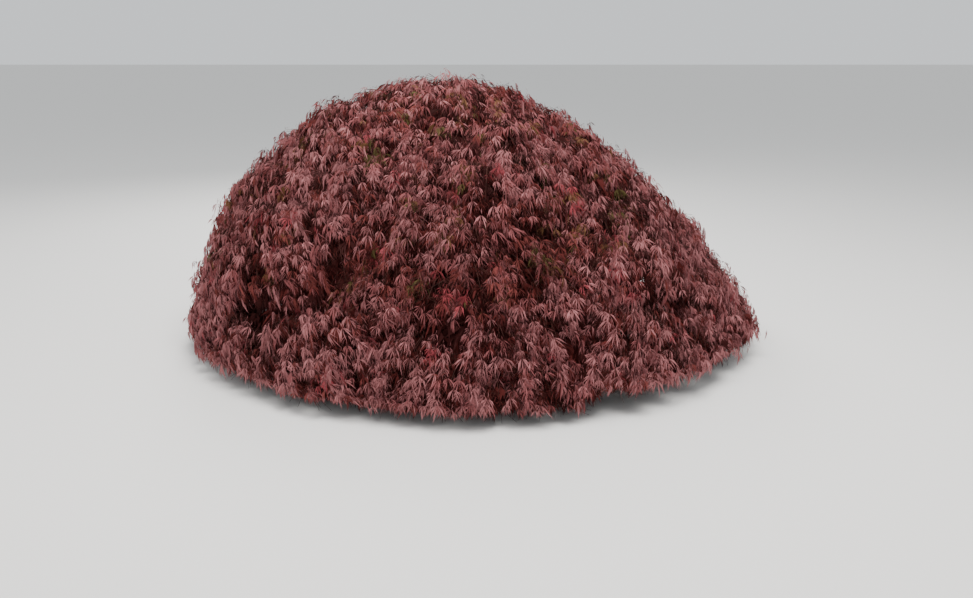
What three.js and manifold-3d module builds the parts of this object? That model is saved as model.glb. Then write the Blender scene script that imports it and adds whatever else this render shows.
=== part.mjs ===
// A weeping laceleaf maple in a plain round pot, in millimetres, +Z up.
// The origin is the middle of the pot's flat underside. The front is -Y and the right is +X.
// The crown is a wide dome whose skirt hangs to just above the floor, all round the pot.
import * as THREE from "three";
import { mergeVertices } from "three/addons/utils/BufferGeometryUtils.js";
import Module from "manifold-3d";

const wasm = await Module();
wasm.setup();

const { degToRad, lerp, smoothstep } = THREE.MathUtils;
const vec = (x, y, z) => new THREE.Vector3(x, y, z);
const DOWN = vec(0, 0, -1);

// Driving dimensions: the crown
const CROWN_TOP = 1530;
const CROWN_HALF_WIDTH = 1705;
const CROWN_HALF_DEPTH = 1590;
const APEX_LEAN = -185; // the top stands this far to the left of the pot's middle
const DOME_POWER = 1.46; // 2 would be a half ellipsoid and 1 a cone
const POWER_SWING = -0.15; // the left side is rounder and the right side straighter
const POWER_CREST = 0.39; // and the top is flatter than the sides
const HEM_LOW = 28; // the lowest leaf tips over the floor
const HEM_RAGGED = 70; // how much higher the hem of some masses ends

// Driving dimensions: the pot and its soil
const POT_HEIGHT = 440;
const POT_RIM_RADIUS = 440;
const POT_FOOT_RADIUS = 320;
const POT_WALL = 28;
const RIM_DEPTH = 60;
const RIM_PROUD = 16;
const RIM_ROUND = 8;
const SOIL_TOP = 385;
const SOIL_EDGE = 22; // the soil's rounded shoulder
const SOIL_CLEARANCE = 1; // between the soil and the pot's wall
const DRAIN_RADIUS = 14;
const DRAIN_RING = 190;
const POT_FACES = 24;

// Driving dimensions: the wood
const GAP = 0.3; // between solids that meet
const INFLATE = 0.45; // grows a faceted solid enough to leave that gap all round
const TRUNK_FOOT = 74; // radii up the trunk
const TRUNK_WAIST = 64;
const TRUNK_KNUCKLE = 84;
const TRUNK_TOP = 745;
const KNUCKLE_HEIGHT = 665;
const FLARE = 62; // how far the root flare spreads past the foot
const FLARE_LOBES = 5;
const FLARE_HEIGHT = 95;
// Each kind of limb: radii at its root and tip, where its roots lie along its parent,
// and how far it rises over the straight way to its mass
const LEADER = { radii: [27, 12], roots: [0.85], rises: [0] };
const MAIN_BOUGH = { radii: [31, 13], roots: [0.8, 0.6], rises: [150, 120] };
const CROWN_BOUGH = { radii: [19, 10], roots: [0.34], rises: [25] };
const SKIRT_BOUGH = { radii: [21, 9], roots: [0.58, 0.44], rises: [50] };
const LIMB_STRAY = 45;

// Driving dimensions: the masses of foliage
const TIERS = [
  // count, bearing of the first, fall from the top, fall where the bough comes in, reach
  { name: "foliage_top", count: 1, turn: 270, fall: 2, inlet: 2, swell: 1 },
  { name: "foliage_crown", count: 5, turn: 16, fall: 36, inlet: 35, swell: 1.02 },
  { name: "foliage_shoulder", count: 7, turn: 0, fall: 55, inlet: 53, swell: 1.01 },
  { name: "foliage_skirt", count: 9, turn: 2, fall: 75, inlet: 64, swell: 1 },
];
const SEED_SCALE = 0.88; // the middle of a mass, as a share of the dome
const INLET_SCALE = 0.8; // where a bough ends
const CORE_INNER = 0.82;
const CORE_UNDER_LEAVES = 0.036; // how far the core stays under the leaf tips
const CORE_ROUND = 0.6; // below 1 makes the core's face flatter and its edge rounder
const LEVEL_WEIGHT = 1.8; // over 1 makes the walls between tiers lie flatter
const TUCK = 0.042; // how far a mass draws in at its upper edge
const TUCK_WIDTH = 170;
const TUCK_LOWER = 0.3; // the share of that at its lower edge
const TUCK_RISE = [-120, 140]; // heights about its middle between which that grows to all
const CORE_EDGE = 8; // the core's distance from the walls of its space
const LEAF_EDGE = 5; // and a leaf's
const CORE_RISE = 32; // and the core's height over the mass's hem
const TWIGS = 6;
const TWIG_RADII = [7, 4];
const TWIG_UNDER_TIPS = 0.02; // how far twigs end under the leaf tips
const TWIG_SUNK = 0.03; // how far they start under the core's face
const TWIG_FIRST = 0.2; // moves the innermost twig off the middle
const TWIG_ROOT = 0.6; // a twig's root, as a share of the way to its end
const STEM_STRAIGHT = 30; // the stem first follows its bough
const LEAF_LENGTH = 260; // each leaf stands for a spray, so it is larger than life
const LEAF_LEAST = 120;
const LEAF_UNDER_REACH = 0.003; // how far leaf tips stay inside the mass's reach
const LEAF_THICKNESS = 6;
const LEAF_ROOT = 12; // how far a leaf's root is sunk behind its twig's end
const LEAF_TURNS = [0, 24, -24, 48, -48]; // degrees, tried in turn
// A leaf's lobes and the notches between them: degrees from its middle and share of its length
const LEAF_OUTLINE = [
  [-74, 0.6],
  [-54, 0.3],
  [-36, 0.86],
  [-17, 0.36],
  [0, 1],
  [17, 0.36],
  [36, 0.86],
  [54, 0.3],
  [74, 0.6],
];

const FALL_POWER = 1.3; // spaces the falls evenly along the dome
const GOLDEN_ANGLE = Math.PI * (3 - Math.sqrt(5));

// A seeded source of numbers from 0 to 1.
function randomFrom(seed) {
  let state = seed >>> 0;
  return () => {
    state = (state + 0x6d2b79f5) >>> 0;
    let t = Math.imul(state ^ (state >>> 15), 1 | state);
    t = (t + Math.imul(t ^ (t >>> 7), 61 | t)) ^ t;
    return ((t ^ (t >>> 14)) >>> 0) / 4294967296;
  };
}

// Solids and meshes
function solidOf(geometry) {
  const bare = geometry.clone();
  bare.deleteAttribute("normal");
  bare.deleteAttribute("uv");
  const merged = mergeVertices(bare, 1e-4);
  return new wasm.Manifold(
    new wasm.Mesh({
      numProp: 3,
      vertProperties: merged.attributes.position.array,
      triVerts: new Uint32Array(merged.index.array),
    }),
  );
}

function largestBody(solid) {
  const bodies = solid.decompose();
  return bodies.reduce((best, body) => (body.volume() > best.volume() ? body : best));
}

function meshOf(name, solid, material) {
  const { vertProperties, triVerts } = solid.getMesh();
  const geometry = new THREE.BufferGeometry();
  geometry.setAttribute("position", new THREE.BufferAttribute(vertProperties, 3));
  geometry.setIndex(new THREE.BufferAttribute(triVerts, 1));
  const mesh = new THREE.Mesh(geometry, material);
  mesh.name = name;
  return mesh;
}

function boxesMeet(a, b) {
  const [p, q] = [a.boundingBox(), b.boundingBox()];
  return [0, 1, 2].every((i) => p.min[i] < q.max[i] && q.min[i] < p.max[i]);
}

// The solid with each neighbour that it meets cut out of it.
function clearOf(solid, neighbours) {
  const near = neighbours.filter((other) => boxesMeet(solid, other));
  return largestBody(near.reduce((left, other) => left.subtract(other), solid));
}

// The dome
// A bearing is 0 to the front and 90 degrees to the right.
function domeRadius(bearing) {
  return 1 / Math.hypot(Math.sin(bearing) / CROWN_HALF_WIDTH, Math.cos(bearing) / CROWN_HALF_DEPTH);
}

// The scale of the dome that passes through a point: 1 on its surface, less inside.
function domeScale(p) {
  const x = p.x - (APEX_LEAN * p.z) / CROWN_TOP;
  const bearing = Math.atan2(x, -p.y);
  const out = Math.hypot(x, p.y) / domeRadius(bearing);
  const up = Math.max(p.z, 0) / CROWN_TOP;
  const crest = POWER_CREST * (up / (out + up)) ** 2;
  const power = DOME_POWER + POWER_SWING * Math.sin(bearing) + crest;
  return (out ** power + up ** power) ** (1 / power);
}

// A point moved straight away from the origin until it lies on the dome of a given scale.
function atScale(p, scale) {
  return p.clone().multiplyScalar(scale / domeScale(p));
}

// A point of the dome of a given scale. Fall is 0 at the top and 90 degrees at the hem.
function domePoint(bearing, fall, scale) {
  const out = domeRadius(bearing) * Math.sin(fall) ** FALL_POWER;
  const up = Math.cos(fall) ** FALL_POWER;
  const x = APEX_LEAN * up + out * Math.sin(bearing);
  return atScale(vec(x, -out * Math.cos(bearing), CROWN_TOP * up), scale);
}

function domeNormal(p) {
  const step = 1;
  const slope = (axis) => domeScale(p.clone().add(axis)) - domeScale(p.clone().sub(axis));
  return vec(slope(vec(step, 0, 0)), slope(vec(0, step, 0)), slope(vec(0, 0, step))).normalize();
}

// The masses' spaces: each mass owns what is nearer to its middle than to any other's,
// with heights counted LEVEL_WEIGHT times, so flat walls part it from its neighbours.
function layOutMasses() {
  const masses = [];
  for (const tier of TIERS) {
    for (let i = 0; i < tier.count; i++) {
      const random = randomFrom(1000 + 97 * masses.length);
      const bearing = degToRad(tier.turn + (360 * (i + 0.16 * (random() - 0.5))) / tier.count);
      const fall = degToRad(tier.fall + (tier.count > 1 ? 4 * (random() - 0.5) : 0));
      const middle = domePoint(bearing, fall, SEED_SCALE);
      masses.push({
        name: tier.count > 1 ? `${tier.name}_${i + 1}` : tier.name,
        tier,
        bearing,
        middle,
        inlet: domePoint(bearing, degToRad(tier.inlet), INLET_SCALE),
        outward: domeNormal(middle),
        hem: HEM_LOW + (i === 0 ? 0 : HEM_RAGGED * random()),
        phase: -Math.PI / 2 - (TWIGS - 1) * GOLDEN_ANGLE + 0.5 * (random() - 0.5),
        random,
      });
    }
  }
  for (const own of masses) {
    own.walls = masses
      .filter((other) => other !== own)
      .map((other) => {
        const normal = other.middle.clone().sub(own.middle);
        normal.z *= LEVEL_WEIGHT ** 2;
        normal.normalize();
        const between = other.middle.clone().add(own.middle).multiplyScalar(0.5);
        return { normal, offset: normal.dot(between) };
      });
  }
  return masses;
}

// Level and rising directions along the dome, and the way out of it, at a mass's middle.
function axesOf(own) {
  const sideways = vec().crossVectors(own.outward, DOWN).normalize();
  const upwards = vec().crossVectors(own.outward, sideways);
  return { sideways, upwards, outward: own.outward };
}

function distanceToWalls(p, own) {
  return Math.min(...own.walls.map((wall) => wall.offset - wall.normal.dot(p)));
}

// How far out of the dome the mass reaches at a point: it draws in towards its upper edge.
function reachAt(p, own) {
  const atEdge = 1 - smoothstep(distanceToWalls(p, own), 0, TUCK_WIDTH);
  const above = smoothstep(p.z - own.middle.z, ...TUCK_RISE);
  return own.tier.swell - TUCK * atEdge * lerp(TUCK_LOWER, 1, above);
}

function fits(p, own) {
  return (
    p.z >= own.hem && distanceToWalls(p, own) >= LEAF_EDGE && domeScale(p) <= reachAt(p, own)
  );
}

// A level heading of the dome at a mass's middle: 0 is sideways and 90 degrees is up the dome.
function heading(own, turn) {
  const { sideways, upwards } = axesOf(own);
  return vec().addScaledVector(sideways, Math.cos(turn)).addScaledVector(upwards, Math.sin(turn));
}

// How far the core may run from the middle along a heading before it comes to a wall.
function spanAlong(own, towards) {
  const step = 4;
  const holds = (span) => {
    const p = atScale(own.middle.clone().addScaledVector(towards, span), SEED_SCALE);
    return p.z >= own.hem + CORE_RISE && distanceToWalls(p, own) >= CORE_EDGE;
  };
  let span = step;
  while (holds(span + step)) span += step;
  return span;
}

// Wood
// A tapering limb: a closed cylinder bent along a curve.
function limbGeometry(curve, radiusAt, sides, steps) {
  const geometry = new THREE.CylinderGeometry(1, 1, 1, sides, steps);
  const frames = curve.computeFrenetFrames(steps);
  const place = geometry.getAttribute("position");
  for (let i = 0; i < place.count; i++) {
    const along = place.getY(i) + 0.5;
    const k = Math.round(along * steps);
    const across = vec().crossVectors(frames.normals[k], frames.tangents[k]);
    const around = Math.atan2(place.getZ(i), place.getX(i));
    const radius = radiusAt(along, around) * Math.hypot(place.getX(i), place.getZ(i));
    const p = curve.getPointAt(along);
    p.addScaledVector(frames.normals[k], radius * Math.cos(around));
    p.addScaledVector(across, radius * Math.sin(around));
    place.setXYZ(i, p.x, p.y, p.z);
  }
  return geometry;
}

function taper([root, tip]) {
  return (along) => lerp(root, tip, along ** 0.8);
}

function trunkRadius(grow) {
  return (along, around) => {
    const height = along * (TRUNK_TOP - SOIL_TOP);
    const knuckleShare = (KNUCKLE_HEIGHT - SOIL_TOP) / (TRUNK_TOP - SOIL_TOP);
    const lobes = 0.62 + 0.38 * Math.cos(FLARE_LOBES * around);
    const flare = FLARE * lobes * Math.max(0, 1 - height / FLARE_HEIGHT) ** 1.7;
    const stem =
      along < knuckleShare
        ? lerp(TRUNK_FOOT, TRUNK_WAIST, smoothstep(along, 0, 0.45)) +
          (TRUNK_KNUCKLE - TRUNK_WAIST) * smoothstep(along, 0.45, knuckleShare)
        : TRUNK_KNUCKLE * Math.sqrt(1 - ((along - knuckleShare) / (1.12 - knuckleShare)) ** 2);
    return stem + flare + grow;
  };
}

const TRUNK_LINE = new THREE.CatmullRomCurve3([
  vec(0, 0, SOIL_TOP + GAP),
  vec(8, -4, lerp(SOIL_TOP, TRUNK_TOP, 0.2)),
  vec(20, 6, lerp(SOIL_TOP, TRUNK_TOP, 0.5)),
  vec(-6, 12, lerp(SOIL_TOP, TRUNK_TOP, 0.8)),
  vec(-16, 8, TRUNK_TOP),
]);

function trunkSolid(grow = 0) {
  const sides = 4 * FLARE_LOBES;
  const solid = solidOf(limbGeometry(TRUNK_LINE, trunkRadius(grow), sides, 9));
  // The foot is cut level where it stands on the soil.
  const below = new THREE.BoxGeometry(2 * POT_RIM_RADIUS, 2 * POT_RIM_RADIUS, SOIL_TOP);
  below.translate(0, 0, SOIL_TOP / 2 + (grow ? 0 : GAP));
  return solid.subtract(solidOf(below));
}

// A point part of the way from one to another, raised and put aside a little by chance.
function between(from, to, share, rise, random) {
  const p = from.clone().lerp(to, share);
  p.x += LIMB_STRAY * (random() - 0.5);
  p.y += LIMB_STRAY * (random() - 0.5);
  p.z += rise + 0.5 * LIMB_STRAY * (random() - 0.5);
  return p;
}

// The limbs' lines: the leader and the mains from the trunk, and the rest from the mains.
function layOutLimbs(masses) {
  const random = randomFrom(77);
  const tierOf = (name) => masses.filter((mass) => mass.tier.name === name);
  const limbs = [];
  const grow = (name, kind, parent, turn, mass) => {
    const root = parent.getPointAt(kind.roots[turn % kind.roots.length]);
    const rise = kind.rises[turn % kind.rises.length];
    const shares = kind === LEADER || kind === MAIN_BOUGH ? [0.33, 0.67] : [0.5];
    const bends = shares.map((share) => between(root, mass.inlet, share, rise, random));
    const curve = new THREE.CatmullRomCurve3([root, ...bends, mass.inlet]);
    mass.limb = { name, curve, radii: kind.radii, mass };
    limbs.push(mass.limb);
  };
  grow("leader", LEADER, TRUNK_LINE, 0, tierOf("foliage_top")[0]);
  tierOf("foliage_shoulder").forEach((mass, i) => {
    grow(`main_bough_${i + 1}`, MAIN_BOUGH, TRUNK_LINE, i, mass);
  });
  const mains = limbs.filter((limb) => limb.name.startsWith("main_bough"));
  const nearestMain = (mass) => {
    const turnFrom = (limb) => Math.cos(limb.mass.bearing - mass.bearing);
    return mains.reduce((best, limb) => (turnFrom(limb) > turnFrom(best) ? limb : best));
  };
  tierOf("foliage_crown").forEach((mass, i) => {
    grow(`crown_bough_${i + 1}`, CROWN_BOUGH, nearestMain(mass).curve, 0, mass);
  });
  const taken = new Map(mains.map((main) => [main, 0]));
  tierOf("foliage_skirt").forEach((mass, i) => {
    const main = nearestMain(mass);
    grow(`skirt_bough_${i + 1}`, SKIRT_BOUGH, main.curve, taken.get(main), mass);
    taken.set(main, taken.get(main) + 1);
  });
  return limbs;
}

function limbSolid(limb, grow = 0) {
  const thin = taper(limb.radii);
  return solidOf(limbGeometry(limb.curve, (along) => thin(along) + grow, 6, 5));
}

// Foliage
// The core: a ball flattened into a cushion that lies along the dome and fills its space.
function coreSolid(own) {
  const geometry = new THREE.IcosahedronGeometry(1, 2);
  const place = geometry.getAttribute("position");
  for (let i = 0; i < place.count; i++) {
    const towards = heading(own, Math.atan2(place.getY(i), place.getX(i)));
    const out = Math.hypot(place.getX(i), place.getY(i)) ** CORE_ROUND;
    const p = own.middle.clone().addScaledVector(towards, out * spanAlong(own, towards));
    const top = reachAt(p, own) - CORE_UNDER_LEAVES;
    const at = atScale(p, lerp(CORE_INNER, top, (place.getZ(i) + 1) / 2));
    place.setXYZ(i, at.x, at.y, at.z);
  }
  return solidOf(geometry);
}

// A leaf: a flat blade cut into lobes, from its root to the tip of its middle lobe.
function leafGeometry(root, tip, outward) {
  const direction = tip.clone().sub(root).normalize();
  const side = vec().crossVectors(direction, outward).normalize();
  const face = vec().crossVectors(side, direction);
  const length = root.distanceTo(tip);
  const outline = LEAF_OUTLINE.map(([degrees, share]) => {
    const turn = degToRad(degrees);
    return new THREE.Vector2(share * length * Math.sin(turn), share * length * Math.cos(turn));
  });
  const shape = new THREE.Shape([new THREE.Vector2(0, -LEAF_ROOT), ...outline]);
  const geometry = new THREE.ExtrudeGeometry(shape, { depth: LEAF_THICKNESS, bevelEnabled: false });
  geometry.translate(0, 0, -LEAF_THICKNESS / 2);
  geometry.applyMatrix4(new THREE.Matrix4().makeBasis(side, direction, face).setPosition(root));
  return geometry;
}

function geometryFits(geometry, own) {
  const place = geometry.getAttribute("position");
  for (let i = 0; i < place.count; i++)
    if (!fits(vec().fromBufferAttribute(place, i), own)) return false;
  return true;
}

function alongDome(direction, outward) {
  return direction.clone().addScaledVector(outward, -outward.dot(direction)).normalize();
}

// The largest leaf that fits at a root. It leans away from the middle and hangs down the dome.
function leafAt(own, root, woods) {
  const outward = domeNormal(root);
  const away = alongDome(root.clone().sub(own.middle), outward);
  const hang = alongDome(away.add(alongDome(DOWN, outward)), outward);
  for (let length = LEAF_LENGTH; length > LEAF_LEAST; length *= 0.9) {
    for (const degrees of LEAF_TURNS) {
      const direction = hang.clone().applyAxisAngle(outward, degToRad(degrees));
      const end = root.clone().addScaledVector(direction, length);
      const tip = atScale(end, reachAt(end, own) - LEAF_UNDER_REACH);
      const geometry = leafGeometry(root, tip, outward);
      if (!geometryFits(geometry, own)) continue;
      const leaf = solidOf(geometry);
      const touches = (wood) => boxesMeet(leaf, wood) && !leaf.intersect(wood).isEmpty();
      if (!woods.some(touches)) return leaf;
    }
  }
  return null;
}

// One twig: it leaves the core and ends in a leaf.
function growTwig(own, k, woods) {
  const towards = heading(own, own.phase + k * GOLDEN_ANGLE);
  const out = Math.sqrt((k + TWIG_FIRST) / TWIGS) * spanAlong(own, towards);
  const along = (share, under) => {
    const p = own.middle.clone().addScaledVector(towards, share * out);
    return atScale(p, reachAt(p, own) - under);
  };
  const end = along(1, TWIG_UNDER_TIPS);
  const curve = new THREE.LineCurve3(along(TWIG_ROOT, CORE_UNDER_LEAVES + TWIG_SUNK), end);
  const twig = solidOf(limbGeometry(curve, taper(TWIG_RADII), 3, 1));
  const leaf = leafAt(own, end, woods);
  return leaf ? twig.add(leaf) : twig;
}

function massSolid(own, woods) {
  const tip = own.limb.curve.getPointAt(1);
  const into = own.limb.curve.getTangentAt(1);
  const foot = tip.clone().addScaledVector(into, GAP);
  const stemLine = new THREE.CatmullRomCurve3([
    foot,
    foot.clone().addScaledVector(into, STEM_STRAIGHT),
    own.middle.clone(),
  ]);
  const stemRadii = [own.limb.radii[1], TWIG_RADII[0]];
  const parts = [coreSolid(own), solidOf(limbGeometry(stemLine, taper(stemRadii), 4, 1))];
  for (let k = 0; k < TWIGS; k++) parts.push(growTwig(own, k, woods));
  const joined = parts.reduce((all, piece) => all.add(piece));
  return clearOf(joined, woods);
}

// The pot and its soil
function potSolid() {
  const inner = (height) =>
    lerp(POT_FOOT_RADIUS, POT_RIM_RADIUS - RIM_PROUD, height / POT_HEIGHT) - POT_WALL;
  const outer = (height) => inner(height) + POT_WALL;
  const rimFoot = POT_HEIGHT - RIM_DEPTH;
  const profile = [
    new THREE.Vector2(0, 0),
    new THREE.Vector2(POT_FOOT_RADIUS - RIM_ROUND, 0),
    new THREE.Vector2(POT_FOOT_RADIUS, RIM_ROUND),
    new THREE.Vector2(outer(rimFoot - RIM_ROUND), rimFoot - RIM_ROUND),
    new THREE.Vector2(outer(rimFoot) + RIM_PROUD - RIM_ROUND, rimFoot),
    new THREE.Vector2(outer(rimFoot) + RIM_PROUD, rimFoot + RIM_ROUND),
    new THREE.Vector2(POT_RIM_RADIUS, POT_HEIGHT - RIM_ROUND),
    new THREE.Vector2(POT_RIM_RADIUS - RIM_ROUND, POT_HEIGHT),
    new THREE.Vector2(inner(POT_HEIGHT) + RIM_ROUND, POT_HEIGHT),
    new THREE.Vector2(inner(POT_HEIGHT), POT_HEIGHT - RIM_ROUND),
    new THREE.Vector2(inner(POT_WALL), POT_WALL),
    new THREE.Vector2(0, POT_WALL),
  ];
  // A lathe turns about Y and needs its profile to run upwards on the outside.
  const turned = new THREE.LatheGeometry(profile, POT_FACES).rotateX(Math.PI / 2);
  let pot = solidOf(turned);
  for (let i = 0; i < 4; i++) {
    const drain = new THREE.CylinderGeometry(DRAIN_RADIUS, DRAIN_RADIUS, 3 * POT_WALL, 8);
    drain.rotateX(Math.PI / 2);
    const bearing = degToRad(45 + 90 * i);
    drain.translate(DRAIN_RING * Math.sin(bearing), DRAIN_RING * Math.cos(bearing), 0);
    pot = pot.subtract(solidOf(drain));
  }
  return pot;
}

function soilSolid() {
  const wall = (height) =>
    lerp(POT_FOOT_RADIUS, POT_RIM_RADIUS - RIM_PROUD, height / POT_HEIGHT) -
    POT_WALL -
    SOIL_CLEARANCE;
  const profile = [
    new THREE.Vector2(0, POT_WALL + GAP),
    new THREE.Vector2(wall(POT_WALL), POT_WALL + GAP),
    new THREE.Vector2(wall(SOIL_TOP - SOIL_EDGE), SOIL_TOP - SOIL_EDGE),
    new THREE.Vector2(wall(SOIL_TOP) - 2 * SOIL_EDGE, SOIL_TOP),
    new THREE.Vector2(0, SOIL_TOP),
  ];
  return solidOf(new THREE.LatheGeometry(profile, POT_FACES).rotateX(Math.PI / 2));
}

// Materials
const finish = (color, roughness) =>
  new THREE.MeshStandardMaterial({ color, roughness, metalness: 0 });
const CLAY = finish("#a5654a", 0.85);
const SOIL = finish("#33241b", 0.95);
const BARK = finish("#6f6358", 0.85);
const FOLIAGE = finish("#6c3236", 0.7);

// The assembly
const tree = new THREE.Group();
tree.name = "potted_laceleaf_maple";
tree.add(meshOf("pot", potSolid(), CLAY));
tree.add(meshOf("soil", soilSolid(), SOIL));

const wood = new THREE.Group();
wood.add(meshOf("trunk", trunkSolid(), BARK));
const masses = layOutMasses();
const limbs = layOutLimbs(masses);
const grown = [trunkSolid(INFLATE)];
for (const limb of limbs) {
  wood.add(meshOf(limb.name, clearOf(limbSolid(limb), grown), BARK));
  grown.push(limbSolid(limb, INFLATE));
}
tree.add(wood);

const foliage = new THREE.Group();
for (const own of masses) {
  foliage.add(meshOf(own.name, massSolid(own, grown), FOLIAGE));
}
tree.add(foliage);

export default tree;
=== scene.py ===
# %% [markdown]
# # A weeping laceleaf maple in a clay pot
# The tree is a wide dome of burgundy foliage whose skirt hangs down round its pot.
# The solids give its trunk, boughs and masses of foliage, and this script dresses them:
# the wood gets bark, and each mass becomes twigs with thousands of drooping, fine-cut leaves.
# Everything is in metres, with the origin under the middle of the pot and the front at -Y.

# %% Load the fixed frame
import math

import bmesh
import bpy
import numpy as np
from mathutils import Matrix, Vector, noise


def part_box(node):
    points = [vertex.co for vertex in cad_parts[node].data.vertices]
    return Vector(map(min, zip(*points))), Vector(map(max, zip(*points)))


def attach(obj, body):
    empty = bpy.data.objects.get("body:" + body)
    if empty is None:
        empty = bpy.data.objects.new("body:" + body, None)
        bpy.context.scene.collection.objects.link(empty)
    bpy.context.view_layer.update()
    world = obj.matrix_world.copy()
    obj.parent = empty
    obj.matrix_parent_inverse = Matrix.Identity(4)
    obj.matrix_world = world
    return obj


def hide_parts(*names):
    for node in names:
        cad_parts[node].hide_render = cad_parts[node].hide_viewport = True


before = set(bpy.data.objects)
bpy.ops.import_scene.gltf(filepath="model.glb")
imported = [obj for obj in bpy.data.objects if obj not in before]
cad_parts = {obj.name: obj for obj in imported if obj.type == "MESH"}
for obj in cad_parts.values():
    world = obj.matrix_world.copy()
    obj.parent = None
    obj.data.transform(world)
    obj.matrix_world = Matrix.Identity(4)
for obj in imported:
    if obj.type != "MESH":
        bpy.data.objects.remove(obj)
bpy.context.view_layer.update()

# %% [markdown]
# ## The camera
# The view comes from somebody who stands about five metres away and looks slightly down.
# The place and the angle were found by fitting the crown's outline and hem, so they are given
# here. The crown stands a little left of the frame's middle, which a small shift gives.

# %% Set the camera
FRAME_WIDTH = 973
FOCAL_PIXELS = 897
SENSOR = 36.0
EYE = Vector((-0.035, -5.2, 1.64))
PITCH = math.radians(15.45)
FRAME_MIDDLE = (486.5, 299.0)
VIEW_MIDDLE = (475.0, 296.0)

camera_data = bpy.data.cameras.new("camera")
camera_data.sensor_width = SENSOR
camera_data.lens = FOCAL_PIXELS / FRAME_WIDTH * SENSOR
camera_data.shift_x = (FRAME_MIDDLE[0] - VIEW_MIDDLE[0]) / FRAME_WIDTH
camera_data.shift_y = (VIEW_MIDDLE[1] - FRAME_MIDDLE[1]) / FRAME_WIDTH
camera = bpy.data.objects.new("camera", camera_data)
camera.location = EYE
camera.rotation_euler = (math.pi / 2 - PITCH, 0, 0)
bpy.context.collection.objects.link(camera)
bpy.context.scene.camera = camera
print("Camera lens, in millimetres:", round(camera_data.lens, 1))

# %% [markdown]
# ## Helpers for pieces and finishes
# A piece is built in a bmesh, given its finish, and told which body it moves with.
# A finish is a small tree of nodes, so one helper adds a node and joins its inputs, and
# another mixes the clouded colours that clay, compost and bark share.

# %% Make a piece from a bmesh
def make_piece(name, shape, finish, slot, *nodes):
    mesh = bpy.data.meshes.new(name)
    shape.to_mesh(mesh)
    shape.free()
    return dress_piece(name, mesh, [finish], slot, *nodes)


def dress_piece(name, mesh, finishes, slot, *nodes):
    for finish in finishes:
        mesh.materials.append(finish)
    piece = bpy.data.objects.new(name, mesh)
    bpy.context.collection.objects.link(piece)
    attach(piece, "root")
    if nodes:
        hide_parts(*nodes)
    return piece


def shade_smooth(piece):
    for face in piece.data.polygons:
        face.use_smooth = True


# %% Make a finish
def new_finish(name, roughness):
    finish = bpy.data.materials.new(name)
    finish.use_nodes = True
    shader = finish.node_tree.nodes["Principled BSDF"]
    shader.inputs["Roughness"].default_value = roughness
    return finish, shader


def add_node(finish, kind, **inputs):
    node = finish.node_tree.nodes.new(kind)
    for name, value in inputs.items():
        socket = node.inputs[name.replace("_", " ")]
        if isinstance(value, bpy.types.NodeSocket):
            finish.node_tree.links.new(value, socket)
        else:
            socket.default_value = value
    return node


def linear(red, green, blue):
    """A colour as a screen shows it, 0 to 255, in the linear values that a shader reads."""
    return tuple(
        (v / 255 / 12.92) if v <= 10 else ((v / 255 + 0.055) / 1.055) ** 2.4
        for v in (red, green, blue)
    ) + (1.0,)


def ramp_between(finish, factor, stops):
    ramp = add_node(finish, "ShaderNodeValToRGB", Fac=factor)
    elements = ramp.color_ramp.elements
    while len(elements) < len(stops):
        elements.new(0.5)
    for element, (position, colour) in zip(elements, stops):
        element.position = position
        element.color = colour
    return ramp.outputs["Color"]


def add_bump(finish, shader, height, strength, distance):
    bump = add_node(finish, "ShaderNodeBump", Strength=strength, Distance=distance, Height=height)
    finish.node_tree.links.new(bump.outputs["Normal"], shader.inputs["Normal"])


def mottled_finish(name, roughness, clouds, stops, grain=None, relief=None):
    """A finish with a colour from clouds of noise and, with grain, a bump from finer noise."""
    finish, shader = new_finish(name, roughness)
    place = add_node(finish, "ShaderNodeTexCoord").outputs["Object"]

    def cloud_noise(scale, detail):
        cloud = add_node(finish, "ShaderNodeTexNoise", Vector=place, Scale=scale, Detail=detail)
        return cloud.outputs["Fac"]

    colour = ramp_between(finish, cloud_noise(*clouds), stops)
    finish.node_tree.links.new(colour, shader.inputs["Base Color"])
    if grain:
        add_bump(finish, shader, cloud_noise(*grain), *relief)
    return finish, shader


# %% [markdown]
# ## The floor and the light
# A plain pale floor and soft studio light keep the eye on the tree. The light on the tree is
# that of a bright, cloudy day: it comes mostly from above, so the leaves' upper sides are
# dusty rose and the hollows between the cascades fall dark. A large lamp overhead gives that,
# with painted light and painted shade in the leaves' tones adding to it, a weaker one behind
# parts the crown from the background, and a pale sky fills the shade.

# %% Lay the floor
FLOOR_HALF = 90
FLOOR_DROP = 0.001
FLOOR_COLOUR = (0.72, 0.71, 0.69, 1)

floor_shape = bmesh.new()
bmesh.ops.create_grid(floor_shape, x_segments=1, y_segments=1, size=FLOOR_HALF)
floor_mesh = bpy.data.meshes.new("floor")
floor_shape.to_mesh(floor_mesh)
floor_shape.free()
floor_finish, floor_shader = new_finish("pale_floor", roughness=0.9)
floor_shader.inputs["Base Color"].default_value = FLOOR_COLOUR
floor_mesh.materials.append(floor_finish)
floor = bpy.data.objects.new("floor", floor_mesh)
floor.location.z = -FLOOR_DROP
bpy.context.collection.objects.link(floor)

# %% Hang the lamps
LAMPS = [
    # name, place, aim, size, watts
    ("overhead", (0.4, -2.3, 6.5), (0, 0, 0.6), 4.2, 800),
    ("behind", (-1.8, 4.6, 4.4), (0, 0, 0.7), 3.0, 260),
]
LAMP_COLOUR = (1.0, 0.98, 0.96)
SKY_COLOUR = (0.90, 0.93, 0.96, 1)
SKY_STRENGTH = 0.95


def add_lamp(name, place, aim, size, watts):
    data = bpy.data.lights.new(name, "AREA")
    data.shape = "DISK"
    data.size = size
    data.energy = watts
    data.color = LAMP_COLOUR
    lamp = bpy.data.objects.new(name, data)
    lamp.location = place
    lamp.rotation_euler = (Vector(aim) - Vector(place)).to_track_quat("-Z", "Y").to_euler()
    bpy.context.collection.objects.link(lamp)


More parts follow.
